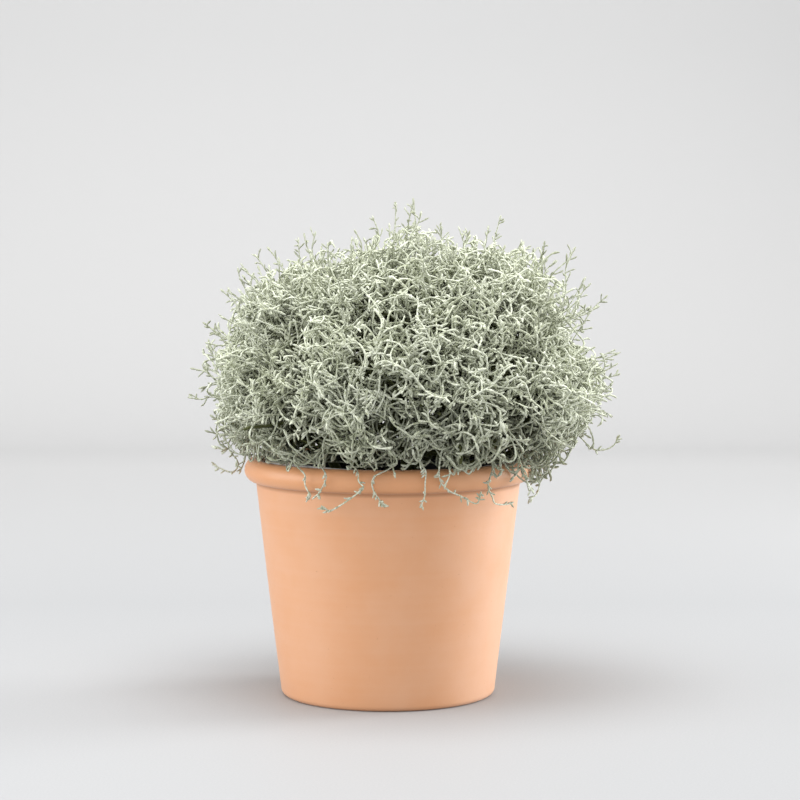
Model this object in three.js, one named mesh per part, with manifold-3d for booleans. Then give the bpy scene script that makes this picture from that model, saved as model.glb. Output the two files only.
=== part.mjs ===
// Potted cushion bush: a wiry silver bush in its nursery pot, standing in a rolled-rim clay pot.
// Millimetres, +Z up. The origin is the centre of the clay pot's underside, and -Y is the front.
import * as THREE from 'three';
import { mergeVertices } from 'three/addons/utils/BufferGeometryUtils.js';
import Module from 'manifold-3d';

const wasm = await Module();
wasm.setup();

// Driving dimensions
const seat = 0.3; // gap kept between pieces that touch

const clay = {
  footRadius: 56.2,
  footRounding: 3,
  creaseRadius: 68.9, // where the straight wall meets the rolled rim
  creaseHeight: 111.4,
  rollRadius: 69.6, // centre of the rim's roll
  rollHeight: 118.1,
  rollHalfWidth: 5.4,
  rollHalfHeight: 6,
  mouthRadius: 63.2, // inner wall, just under the roll
  floorRadius: 50.5, // inner wall, just over the floor
  floorThickness: 9,
  floorRounding: 3,
  sides: 40,
};

const nursery = {
  height: 114,
  baseRadius: 45.5,
  shoulderRadius: 60.2,
  lipRadius: 64.1,
  lipDepth: 4,
  lipBend: 1.8, // height over which the wall steps out to the lip
  lipWall: 1.1,
  lipRounding: 0.5,
  wall: 1,
  baseRounding: 1.5,
  baseThickness: 1.2,
  drainHoles: 6,
  drainRadius: 4,
  drainRing: 34,
  drainSides: 8,
  sides: 30,
};

const earth = {
  height: 110, // surface at the wall
  crown: 2.5, // rise at the middle
  crownRows: [[0.8, 0.3], [0.45, 0.8]], // share of the radius and share of the crown
  holeDepth: 14,
  holeSides: 6,
  sides: 20,
};

const bush = {
  seed: 7406,
  centre: new THREE.Vector3(8, 2, 139),
  halfWidth: 111,
  halfDepth: 106,
  rise: 106, // from the centre to the top of the dome
  drop: 21, // from the centre to the underside
  squareness: 2.45, // 2 is an ellipse, more gives fuller shoulders
  coreShare: 0.82, // how far out the points of the dense core reach
  coreRadius: 34,
  coreValley: 0.66, // how far out the core reaches between its points
  coreGap: 2.2, // between the cores of two stems
  coreLift: 5, // above the rim
  lowestTwig: -0.2, // how far down twigs point, as the height of their direction
};

const stem = {
  footRadius: 2,
  kneeRadius: 1.7,
  headRadius: 1.3,
  collar: 4, // straight length above the soil
  kneeShare: 0.45, // place of the knee between the collar and the head
  kneeLift: 7,
  sides: 4,
};

const twig = {
  count: 108, // over a whole sphere, of which the dome takes about three fifths
  fringe: 18, // along the rim
  baseRadius: 0.8,
  tipRadius: 0.62,
  jointLength: 1.3, // stretch of a twig that its side shoots grow from
  shootLength: 10,
  shootTaper: 0.9,
  sprayShoots: 0.45, // length of the shoots on a hanging spray, as a share
  sprayBare: 2, // inner points of a hanging spray that carry no shoots
  rootShare: 0.75, // how deep in the core a twig starts
  bends: [0.45, 0.75], // places along a twig where it bends
  bendShare: 0.15, // how far it bends, as a share of its length
  potMargin: 1.3,
  clearance: 1.95, // between the sample points of two stems' twigs
  sampleStep: 1.5,
  tries: 14,
};

// The leafy stems stand in rings: number, foot and head circle radius, head height, turn in degrees
const stemRings = [
  { number: 9, foot: 27, reach: 71, height: 153, turn: 10 },
  { number: 6, foot: 14, reach: 44, height: 197, turn: 0 },
  { number: 1, foot: 0, reach: 0, height: 207, turn: 0 },
];

// Tufts that rise above the dome: direction from its centre, angular width in degrees, extra reach
const tufts = [
  { x: 8, y: -20, z: 108, width: 15, extra: 0.11 },
  { x: -52, y: -10, z: 97, width: 13, extra: 0.05 },
  { x: 50, y: -15, z: 100, width: 14, extra: 0.06 },
  { x: 96, y: -10, z: 72, width: 13, extra: 0.05 },
  { x: -20, y: 70, z: 80, width: 18, extra: 0.05 },
  { x: 60, y: 70, z: 50, width: 18, extra: 0.04 },
];

// Sprays that hang over the rim. Each point is the angle round the pot from the front in degrees
// (positive to the right), the distance from the pot's axis and the height.
const sprays = [
  [[-34, 82, 131], [-32, 77.4, 121.5], [-32, 77.4, 117], [-31, 77, 113.6], [-30, 76, 111],
    [-32, 76.6, 110]],
  [[-24, 82, 131], [-23, 77.4, 121.6], [-24.6, 77.4, 115.6], [-26.7, 76.4, 112], [-28.3, 76, 110.4]],
  [[-14, 82, 132], [-10.8, 77.6, 124.3], [-10.4, 77.6, 119.3], [-8.5, 77.4, 116.2], [-11.8, 76.6, 112.3],
    [-15.2, 75.6, 109.1], [-19.2, 75, 105.8], [-22.7, 74.4, 103.8], [-26, 75, 106.2]],
  [[3, 83, 131], [0.7, 77.8, 125.6], [-4.6, 77.6, 121.6], [-5.4, 77.2, 116.2], [-2.7, 75.6, 109.4],
    [-0.8, 74.6, 106]],
  [[11, 84, 131], [14, 78, 124.4], [13.9, 77.4, 117.6], [14, 75.8, 111.4], [12.6, 73.8, 105.6]],
  [[18, 84, 130], [19.7, 77.6, 119.2], [23.8, 77, 113.5], [28, 76.6, 111.2], [32.5, 75.6, 108],
    [36.6, 75.4, 106.6], [37.2, 77.4, 112.6]],
  [[38, 84, 128], [40.4, 77.6, 115.4], [44, 76, 108.6], [45.8, 75.2, 105.6], [51, 75.4, 104.4],
    [56.5, 76, 104.6]],
  [[66, 94, 127], [65.1, 86, 115.4], [65.4, 84, 109], [61, 82, 106]],
  [[-93, 84, 131], [-90, 78.6, 121], [-88, 82, 116.4], [-88, 92, 120.5]],
  [[-80, 86, 134], [-79, 84, 129.6], [-80, 92, 130.6]],
  [[92, 98, 137], [89, 106, 129.4], [88, 112, 128], [88, 118, 130.6], [88, 120.5, 136]],
  [[-128, 82, 130], [-127, 77.6, 118], [-124, 75.8, 110.5], [-119, 75, 107]],
  [[128, 84, 129], [131, 77.8, 118.4], [135, 76.6, 112], [141, 75.6, 108.6]],
  [[158, 84, 131], [160, 77.8, 121], [157, 76.8, 113.6], [152, 75.6, 109]],
  [[-166, 84, 131], [-163, 77.8, 120], [-165, 76, 111], [-160, 74.8, 106.4]],
];

// Sprigs that stand out of the dome: root and tip as x, y, z
const sprigs = [
  [[3, -24, 236], [4, -26, 257]],
  [[15, -20, 238], [13, -22, 259]],
  [[-7, -20, 232], [-8, -22, 250]],
  [[-15, -24, 226], [-17, -26, 243]],
  [[-35, -18, 222], [-37, -20, 242]],
  [[-44, -16, 218], [-46, -18, 239]],
  [[-55, -14, 214], [-62, -16, 234]],
  [[50, -14, 230], [52, -15, 245]],
  [[79, -12, 218], [81, -13, 237]],
  [[92, -10, 212], [97, -10, 234]],
  [[100, -6, 192], [114, -7, 209]],
  [[-84, -6, 184], [-96, -8, 195]],
  [[-90, -4, 165], [-103, -5, 171]],
  [[-91, -6, 156], [-104, -8, 156]],
  [[108, -4, 164], [121, -5, 168]],
  [[107, -6, 174], [120, -8, 179]],
];

// Seeded draw, so that the bush grows the same way on every run
function seededDraw(seed) {
  let state = seed;
  return () => {
    state = (state + 0x6d2b79f5) | 0;
    let mixed = Math.imul(state ^ (state >>> 15), state | 1);
    mixed ^= mixed + Math.imul(mixed ^ (mixed >>> 7), mixed | 61);
    return ((mixed ^ (mixed >>> 14)) >>> 0) / 2 ** 32;
  };
}

// Closed geometry to a solid that can be joined and cut, and back

function weld(geometry) {
  const bare = geometry.clone();
  bare.deleteAttribute('normal');
  bare.deleteAttribute('uv');
  const merged = mergeVertices(bare, 1e-4);
  const index = merged.index.array;
  const kept = [];
  for (let i = 0; i < index.length; i += 3) {
    const [a, b, c] = index.slice(i, i + 3);
    if (a !== b && b !== c && c !== a) kept.push(a, b, c);
  }
  merged.setIndex(kept);
  return merged;
}

function solidOf(geometry) {
  const welded = weld(geometry);
  return new wasm.Manifold(new wasm.Mesh({
    numProp: 3,
    vertProperties: Float32Array.from(welded.attributes.position.array),
    triVerts: Uint32Array.from(welded.index.array),
  }));
}

function geometryOf(solid) {
  const mesh = solid.getMesh();
  const geometry = new THREE.BufferGeometry();
  geometry.setAttribute('position', new THREE.BufferAttribute(mesh.vertProperties, 3));
  geometry.setIndex(new THREE.BufferAttribute(mesh.triVerts, 1));
  geometry.computeVertexNormals();
  return geometry;
}

function geometryFrom(corners, faces) {
  const positions = corners.flatMap((corner) => corner.toArray());
  const geometry = new THREE.BufferGeometry();
  geometry.setAttribute('position', new THREE.Float32BufferAttribute(positions, 3));
  geometry.setIndex(faces);
  return geometry;
}

// A turned piece: radius and height pairs round the Z axis, listed upwards on the outside
function turned(profile, sides) {
  const points = profile.map(([radius, height]) => new THREE.Vector2(radius, height));
  return new THREE.LatheGeometry(points, sides).rotateX(Math.PI / 2);
}

// Points of an elliptical arc, with angles in degrees from the outward direction
function arc(centreRadius, centreHeight, halfWidth, halfHeight, from, to, steps) {
  const points = [];
  for (let i = 0; i <= steps; i += 1) {
    const angle = THREE.MathUtils.degToRad(from + ((to - from) * i) / steps);
    points.push([centreRadius + halfWidth * Math.cos(angle), centreHeight + halfHeight * Math.sin(angle)]);
  }
  return points;
}

function clayPotGeometry() {
  const rounding = clay.footRounding;
  return turned([
    [0, 0],
    ...arc(clay.footRadius - rounding, rounding, rounding, rounding, -90, -7, 3),
    [clay.creaseRadius, clay.creaseHeight],
    ...arc(clay.rollRadius, clay.rollHeight, clay.rollHalfWidth, clay.rollHalfHeight, -65, 180, 10),
    [clay.mouthRadius, clay.rollHeight - clay.rollHalfHeight],
    [clay.floorRadius, clay.floorThickness + clay.floorRounding],
    [clay.floorRadius - clay.floorRounding, clay.floorThickness],
    [0, clay.floorThickness],
  ], clay.sides);
}

const nurseryBase = clay.floorThickness + seat;
const nurseryTop = nurseryBase + nursery.height;

// Outer radius of the nursery pot's wall at a height
function nurseryRadius(height) {
  const share = (height - nurseryBase) / (nursery.height - nursery.lipDepth);
  return THREE.MathUtils.lerp(nursery.baseRadius, nursery.shoulderRadius, share);
}

function nurseryPotGeometry() {
  const { baseRounding, shoulderRadius, lipRadius, lipBend, lipWall, lipRounding, wall } = nursery;
  const shoulder = nurseryTop - nursery.lipDepth;
  const inner = nurseryBase + nursery.baseThickness;
  const shell = solidOf(turned([
    [0, nurseryBase],
    [nursery.baseRadius - baseRounding, nurseryBase],
    [nurseryRadius(nurseryBase + baseRounding), nurseryBase + baseRounding],
    [shoulderRadius, shoulder],
    [lipRadius - (2 / 3) * lipBend, shoulder + lipBend / 3],
    [lipRadius, shoulder + lipBend],
    [lipRadius, nurseryTop - lipRounding],
    [lipRadius - lipRounding, nurseryTop],
    [lipRadius - lipWall, nurseryTop],
    [lipRadius - lipWall - lipRounding, shoulder + lipBend + 0.4 * wall],
    [shoulderRadius - wall, shoulder + 1.2 * wall],
    [nurseryRadius(inner) - wall, inner],
    [0, inner],
  ], nursery.sides));
  const { drainRadius, drainSides } = nursery;
  const drainDepth = 5 * nursery.baseThickness;
  let pierced = shell;
  for (let i = 0; i < nursery.drainHoles; i += 1) {
    const angle = ((i + 0.5) / nursery.drainHoles) * 2 * Math.PI;
    const drain = new THREE.CylinderGeometry(drainRadius, drainRadius, drainDepth, drainSides);
    drain.rotateX(Math.PI / 2);
    drain.translate(nursery.drainRing * Math.cos(angle), nursery.drainRing * Math.sin(angle), nurseryBase);
    pierced = pierced.subtract(solidOf(drain));
  }
  return geometryOf(pierced);
}

// Leafy stems: a foot on the soil and the centre of the head that it carries

function leafyStems() {
  const stems = [];
  for (const ring of stemRings) {
    for (let i = 0; i < ring.number; i += 1) {
      const angle = THREE.MathUtils.degToRad(ring.turn) + (i / ring.number) * 2 * Math.PI;
      const out = new THREE.Vector3(Math.cos(angle), Math.sin(angle), 0);
      const head = out.clone().multiplyScalar(ring.reach).setZ(ring.height);
      head.x += bush.centre.x;
      head.y += bush.centre.y;
      stems.push({
        name: `bush_stem_${String(stems.length + 1).padStart(2, '0')}`,
        foot: out.clone().multiplyScalar(ring.foot),
        head,
        pieces: [],
      });
    }
  }
  return stems;
}

// Distance from the dome's centre to its outermost tips in a direction
function domeReach(direction) {
  const half = direction.z > 0 ? bush.rise : bush.drop;
  const parts = [direction.x / bush.halfWidth, direction.y / bush.halfDepth, direction.z / half];
  const sum = parts.reduce((total, part) => total + Math.abs(part) ** bush.squareness, 0);
  let reach = sum ** (-1 / bush.squareness);
  for (const tuft of tufts) {
    const towards = new THREE.Vector3(tuft.x, tuft.y, tuft.z);
    const off = THREE.MathUtils.radToDeg(direction.angleTo(towards)) / tuft.width;
    reach *= 1 + tuft.extra * Math.exp(-off * off);
  }
  return reach;
}

// Share of the way from the dome's centre to its surface at which a point lies
function domeShare(point) {
  const offset = point.clone().sub(bush.centre);
  return offset.length() / domeReach(offset.clone().normalize());
}

// How far a stem's core reaches from its head's centre in a direction: to the inner dome, to the
// planes halfway to its neighbours, and to just above the rim
function coreReach(current, direction, stems) {
  let reach = bush.coreRadius;
  for (const other of stems) {
    if (other === current) continue;
    const across = other.head.clone().sub(current.head);
    const along = direction.dot(across) / across.length();
    if (along > 0) reach = Math.min(reach, (across.length() - bush.coreGap) / 2 / along);
  }
  const lowest = clay.rollHeight + clay.rollHalfHeight + bush.coreLift;
  if (direction.z < 0) reach = Math.min(reach, (current.head.z - lowest) / -direction.z);
  const end = current.head.clone().addScaledVector(direction, reach);
  while (reach > 1 && domeShare(end) > bush.coreShare) {
    reach -= 0.5;
    end.copy(current.head).addScaledVector(direction, reach);
  }
  return reach;
}

// The dense middle of a head, a thicket too fine to part: a ball with each side drawn out to a point
function coreGeometry(current, stems, draw) {
  const ball = weld(new THREE.IcosahedronGeometry(1, 1));
  const place = (direction, share) => {
    const reach = coreReach(current, direction, stems);
    return current.head.clone().addScaledVector(direction, reach * share);
  };
  const directions = [];
  for (let i = 0; i < ball.attributes.position.count; i += 1) {
    directions.push(new THREE.Vector3().fromBufferAttribute(ball.attributes.position, i).normalize());
  }
  const corners = directions.map((direction) => {
    const uneven = 0.85 + 0.3 * draw();
    return place(direction, bush.coreValley * uneven);
  });
  const faces = [];
  const index = ball.index.array;
  for (let i = 0; i < index.length; i += 3) {
    const [a, b, c] = index.slice(i, i + 3);
    const middle = directions[a].clone().add(directions[b]).add(directions[c]).normalize();
    middle.addScaledVector(randomDirection(draw), 0.08).normalize();
    const point = corners.push(place(middle, 0.8 + 0.2 * draw())) - 1;
    faces.push(a, b, point, b, c, point, c, a, point);
  }
  return geometryFrom(corners, faces);
}

// Directions along and across a line of points, carried from one to the next without twisting
function framesAlong(points) {
  const side = new THREE.Vector3(0.31, 0.53, 0.79);
  return points.map((point, i) => {
    const before = points[Math.max(i - 1, 0)];
    const after = points[Math.min(i + 1, points.length - 1)];
    const along = after.clone().sub(before).normalize();
    side.addScaledVector(along, -side.dot(along)).normalize();
    return { point, along, side: side.clone(), across: along.clone().cross(side) };
  });
}

// Direction straight out of a branch, at a share of a turn round it
function outward({ side, across }, turn) {
  const angle = turn * 2 * Math.PI;
  return side.clone().multiplyScalar(Math.cos(angle)).addScaledVector(across, Math.sin(angle));
}

// A tapering branch with flat ends. A side of one of its short stretches can be drawn out into a
// shoot, so that the branch and its shoots are one closed skin.
function branchGeometry(frames, radii, sides, shoots = []) {
  const corners = [];
  const faces = [];
  const addQuad = (a, b, c, d) => faces.push(a, b, c, a, c, d);
  frames.forEach((frame, i) => {
    for (let k = 0; k < sides; k += 1) {
      corners.push(frame.point.clone().addScaledVector(outward(frame, k / sides), radii[i]));
    }
  });
  for (let ring = 0; ring < frames.length - 1; ring += 1) {
    for (let k = 0; k < sides; k += 1) {
      const next = (k + 1) % sides;
      const low = ring * sides;
      const base = [low + k, low + next, low + sides + next, low + sides + k];
      const shoot = shoots.find((one) => one.ring === ring && one.side === k);
      if (!shoot) {
        addQuad(...base);
        continue;
      }
      const end = base.map((corner) => {
        const offset = corners[corner].clone().sub(shoot.root).multiplyScalar(twig.shootTaper);
        return corners.push(offset.add(shoot.tip)) - 1;
      });
      base.forEach((corner, i) => addQuad(corner, base[(i + 1) % 4], end[(i + 1) % 4], end[i]));
      addQuad(...end);
    }
  }
  const last = (frames.length - 1) * sides;
  for (let k = 1; k < sides - 1; k += 1) faces.push(0, k + 1, k, last, last + k, last + k + 1);
  return geometryFrom(corners, faces);
}

// Points at even steps along a line of points
function samplesAlong(points) {
  const samples = [];
  for (let i = 1; i < points.length; i += 1) {
    const steps = Math.ceil(points[i].distanceTo(points[i - 1]) / twig.sampleStep);
    for (let k = 0; k <= steps; k += 1) samples.push(points[i - 1].clone().lerp(points[i], k / steps));
  }
  return samples;
}

// Whether a point keeps clear of both pots and the soil
function clearOfPots(point) {
  const radius = Math.hypot(point.x, point.y) - twig.potMargin;
  const rimTop = clay.rollHeight + clay.rollHalfHeight;
  if (point.z > rimTop + twig.potMargin) return true;
  if (point.z > clay.creaseHeight) return radius > clay.rollRadius + clay.rollHalfWidth;
  const share = point.z / clay.creaseHeight;
  return radius > THREE.MathUtils.lerp(clay.footRadius, clay.creaseRadius, share);
}

// Whether a branch of one stem keeps clear of every other stem and of the pots
function isClear(points, current, stems, taken) {
  for (const sample of samplesAlong(points)) {
    if (!clearOfPots(sample)) return false;
    for (const other of taken) {
      if (other.stem !== current && other.point.distanceTo(sample) < twig.clearance) return false;
    }
    for (const other of stems) {
      if (other === current) continue;
      const offset = sample.clone().sub(other.head);
      const distance = offset.length();
      if (distance > bush.coreRadius + 2) continue;
      if (distance < coreReach(other, offset.normalize(), stems) + twig.baseRadius + seat) return false;
    }
  }
  return true;
}

function randomDirection(draw) {
  const height = 2 * draw() - 1;
  const angle = 2 * Math.PI * draw();
  const across = Math.sqrt(1 - height * height);
  return new THREE.Vector3(across * Math.cos(angle), across * Math.sin(angle), height);
}

// Add a plain branch to a stem and note where it runs
function addBranch(points, radii, sides, current, taken) {
  current.pieces.push(solidOf(branchGeometry(framesAlong(points), radii, sides)));
  for (const point of samplesAlong(points)) taken.push({ stem: current, point });
}

// Add a three-sided twig with side shoots at its inner points, the first few of which may be bare
function addTwigAlong(points, bare, shootLength, current, stems, taken, draw) {
  const rings = [];
  points.forEach((point, i) => {
    const bend = i > bare && i < points.length - 1;
    if (!bend) {
      rings.push(point);
      return;
    }
    const along = points[i + 1].clone().sub(points[i - 1]).setLength(twig.jointLength / 2);
    rings.push(point.clone().sub(along), point.clone().add(along));
  });
  const frames = framesAlong(rings);
  const radii = rings.map((_, i) => {
    const share = i / (rings.length - 1);
    return THREE.MathUtils.lerp(twig.baseRadius, twig.tipRadius, share);
  });
  const shoots = [];
  for (let ring = bare + 1; ring < rings.length - 1; ring += 2) {
    const first = Math.floor(3 * draw());
    for (const side of [first, (first + 1) % 3]) {
      const root = rings[ring].clone().lerp(rings[ring + 1], 0.5);
      root.addScaledVector(outward(frames[ring], (side + 0.5) / 3), radii[ring] / 2);
      const heading = outward(frames[ring], (side + 0.3 + 0.4 * draw()) / 3);
      heading.addScaledVector(frames[ring].along, 0.5 + 0.5 * draw()).normalize();
      for (const share of [1, 0.6, 0.35]) {
        const tip = root.clone().addScaledVector(heading, share * shootLength * (0.6 + 0.6 * draw()));
        if (!isClear([root, tip], current, stems, taken)) continue;
        shoots.push({ ring, side, root, tip });
        break;
      }
    }
  }
  current.pieces.push(solidOf(branchGeometry(frames, radii, 3, shoots)));
  const lines = [points, ...shoots.map(({ root, tip }) => [root, tip])];
  for (const point of lines.flatMap(samplesAlong)) taken.push({ stem: current, point });
}

// A twig from a stem's core out to a tip on the dome, bent clear of the other stems
function addTwig(tip, current, stems, taken, draw) {
  const heading = tip.clone().sub(current.head).normalize();
  const sunk = coreReach(current, heading, stems) * bush.coreValley * twig.rootShare;
  const root = current.head.clone().addScaledVector(heading, sunk);
  const length = root.distanceTo(tip);
  for (let i = 0; i < twig.tries; i += 1) {
    const bends = twig.bends.map((share) => {
      const wander = randomDirection(draw).multiplyScalar(twig.bendShare * length);
      return root.clone().lerp(tip, share).add(wander);
    });
    const points = [root, ...bends, tip.clone().addScaledVector(randomDirection(draw), 0.5 * i)];
    if (!isClear(points, current, stems, taken)) continue;
    addTwigAlong(points, 0, twig.shootLength, current, stems, taken, draw);
    return;
  }
}

function nearestStem(point, stems) {
  return stems.reduce((a, b) => (point.distanceTo(b.head) < point.distanceTo(a.head) ? b : a));
}

// Even directions over a sphere, from a golden-angle spiral
function evenDirections(number) {
  const golden = Math.PI * (3 - Math.sqrt(5));
  return Array.from({ length: number }, (_, i) => {
    const height = 1 - (2 * (i + 0.5)) / number;
    const across = Math.sqrt(1 - height * height);
    return new THREE.Vector3(across * Math.cos(golden * i), across * Math.sin(golden * i), height);
  });
}

function pointRound([angle, radius, height]) {
  const turn = THREE.MathUtils.degToRad(angle);
  return new THREE.Vector3(radius * Math.sin(turn), -radius * Math.cos(turn), height);
}

function growBush(stems) {
  const draw = seededDraw(bush.seed);
  const taken = [];
  for (const current of stems) {
    const ground = earth.height - earth.holeDepth + seat;
    const foot = current.foot.clone().setZ(ground);
    const collar = current.foot.clone().setZ(earth.height + earth.crown + stem.collar);
    const knee = collar.clone().lerp(current.head, stem.kneeShare);
    knee.z += stem.kneeLift;
    const radii = [stem.footRadius, stem.footRadius, stem.kneeRadius, stem.headRadius];
    current.pieces.push(solidOf(coreGeometry(current, stems, draw)));
    addBranch([foot, collar, knee, current.head], radii, stem.sides, current, taken);
  }
  for (const spray of sprays) {
    const points = spray.map(pointRound);
    const current = nearestStem(points[0], stems);
    points.unshift(current.head.clone().lerp(points[0], 0.35));
    addTwigAlong(points, twig.sprayBare, twig.sprayShoots * twig.shootLength, current, stems, taken, draw);
  }
  for (const [root, tip] of sprigs) {
    const end = new THREE.Vector3(...tip);
    addTwig(end, nearestStem(new THREE.Vector3(...root), stems), stems, taken, draw);
  }
  for (const direction of evenDirections(twig.count)) {
    if (direction.z < bush.lowestTwig) continue;
    const reach = domeReach(direction) * (0.93 + 0.1 * draw());
    const tip = bush.centre.clone().addScaledVector(direction, reach);
    addTwig(tip, nearestStem(tip, stems), stems, taken, draw);
  }
  for (let i = 0; i < twig.fringe; i += 1) {
    const angle = (360 * (i + 0.5 * draw())) / twig.fringe;
    const tip = pointRound([angle, 79 + 8 * draw(), 126.5 + 4 * draw()]);
    addTwig(tip, nearestStem(tip, stems), stems, taken, draw);
  }
}

// Soil with a plain hole for each stem
function soilGeometry(stems) {
  const base = nurseryBase + nursery.baseThickness + seat;
  const inner = (height) => nurseryRadius(height) - nursery.wall - seat;
  const wide = inner(earth.height);
  const rim = wide - 0.2;
  const holeRadius = stem.footRadius + 2 * seat;
  const holeLength = 40;
  let soil = solidOf(turned([
    [0, base],
    [inner(base), base],
    [rim, earth.height],
    ...earth.crownRows.map(([out, up]) => [wide * out, earth.height + earth.crown * up]),
    [0, earth.height + earth.crown],
  ], earth.sides));
  for (const { foot } of stems) {
    const hole = new THREE.CylinderGeometry(holeRadius, holeRadius, holeLength, earth.holeSides);
    hole.rotateX(Math.PI / 2);
    hole.translate(foot.x, foot.y, earth.height - earth.holeDepth + holeLength / 2);
    soil = soil.subtract(solidOf(hole));
  }
  return geometryOf(soil);
}

// Materials

const clayMaterial = new THREE.MeshStandardMaterial({ color: 0xdc9b6e, roughness: 0.85, metalness: 0 });
const nurseryMaterial = new THREE.MeshStandardMaterial({ color: 0x3c3e42, roughness: 0.55, metalness: 0 });
const soilMaterial = new THREE.MeshStandardMaterial({ color: 0x2e231a, roughness: 1, metalness: 0 });
const foliageMaterial = new THREE.MeshStandardMaterial({ color: 0xa9b097, roughness: 0.9, metalness: 0 });

function piece(name, geometry, material) {
  const mesh = new THREE.Mesh(geometry, material);
  mesh.name = name;
  return mesh;
}

const pottedBush = new THREE.Group();
const stems = leafyStems();
growBush(stems);

pottedBush.add(piece('clay_pot', weld(clayPotGeometry()), clayMaterial));
pottedBush.add(piece('nursery_pot', nurseryPotGeometry(), nurseryMaterial));
pottedBush.add(piece('soil', soilGeometry(stems), soilMaterial));
for (const { name, pieces } of stems) {
  const grown = pieces.reduce((whole, part) => whole.add(part));
  pottedBush.add(piece(name, geometryOf(grown), foliageMaterial));
}

export default pottedBush;
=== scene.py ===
import math

import bpy
import numpy as np
from bpy.props import FloatProperty, FloatVectorProperty, IntProperty, PointerProperty
from bpy.types import Operator, Panel, PropertyGroup
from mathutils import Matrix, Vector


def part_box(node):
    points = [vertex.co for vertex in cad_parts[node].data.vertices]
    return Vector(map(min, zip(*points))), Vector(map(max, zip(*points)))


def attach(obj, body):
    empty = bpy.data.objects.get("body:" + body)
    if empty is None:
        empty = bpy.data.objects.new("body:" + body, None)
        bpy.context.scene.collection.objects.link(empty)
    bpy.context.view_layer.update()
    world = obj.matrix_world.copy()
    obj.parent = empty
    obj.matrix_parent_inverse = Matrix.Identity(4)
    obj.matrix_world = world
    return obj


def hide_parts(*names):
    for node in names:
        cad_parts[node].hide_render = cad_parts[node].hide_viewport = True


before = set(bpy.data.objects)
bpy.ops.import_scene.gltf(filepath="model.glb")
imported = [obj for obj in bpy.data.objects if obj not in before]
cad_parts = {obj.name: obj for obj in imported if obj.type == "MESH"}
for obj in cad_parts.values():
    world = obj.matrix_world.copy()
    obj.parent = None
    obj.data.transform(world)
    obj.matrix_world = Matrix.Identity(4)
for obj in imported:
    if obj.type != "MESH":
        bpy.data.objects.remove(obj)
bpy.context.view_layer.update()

bl_info = {
    "name": "Potted Cushion Bush",
    "version": (1, 0, 0),
    "blender": (4, 5, 0),
    "location": "View3D > Sidebar > Cushion Bush",
    "description": "Dresses a wiry silver bush in its nursery pot inside a rolled-rim clay pot",
    "category": "Add Mesh",
}

BODY = "root"
MM = 0.001
POT_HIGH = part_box("clay_pot")[1]
LIP_LOW, LIP_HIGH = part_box("nursery_pot")
SOIL_LOW, SOIL_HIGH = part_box("soil")
STEM_NODES = sorted(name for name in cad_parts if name.startswith("bush_stem_"))

# The dome that the twigs fill, in millimetres as the stems' own solids have it
DOME_CENTRE = np.array([8.0, 2.0, 139.0])
DOME_HALF = np.array([111.0, 106.0, 106.0])
DOME_DROP = 21.0
DOME_SQUARENESS = 2.45

# Tufts on the dome: direction from its centre, angular width in degrees, extra reach
TUFTS = (
    (8, -20, 108, 15, 0.11),
    (-52, -10, 97, 13, 0.05),
    (50, -15, 100, 14, 0.06),
    (96, -10, 72, 13, 0.05),
    (-20, 70, 80, 18, 0.05),
    (60, 70, 50, 18, 0.04),
)

# Ridges and grooves that run over the dome from front to back, as the photo's outline has them:
# degrees up from the right-hand side, width in degrees, extra reach
RIDGES = (
    (-20, 7, 0.5),
    (-3, 7, -0.08),
    (14, 6, 0.05),
    (24, 5, -0.03),
    (47, 9, 0.07),
    (76, 8, -0.08),
    (87, 4, 0.07),
    (100, 6, -0.05),
    (111, 6, -0.09),
    (125, 5, -0.09),
    (140, 8, 0.05),
    (171, 8, -0.05),
    (187, 9, -0.1),
)

# Swells and hollows of the thicket inside the outline: direction, angular width, extra reach
SWELLS = (
    (-4, -95, 39, 20, 0.06),
    (16, -100, -1, 13, -0.13),
    (-40, -90, 2, 9, -0.07),
    (40, -80, 45, 9, -0.07),
    (-52, -60, 40, 9, -0.06),
    (10, -70, 75, 8, -0.06),
)

# Rings of stems: number, foot circle, head circle, head height, turn in degrees
STEM_RINGS = ((9, 27, 71, 153, 10), (6, 14, 44, 197, 0), (1, 0, 0, 207, 0))

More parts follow.
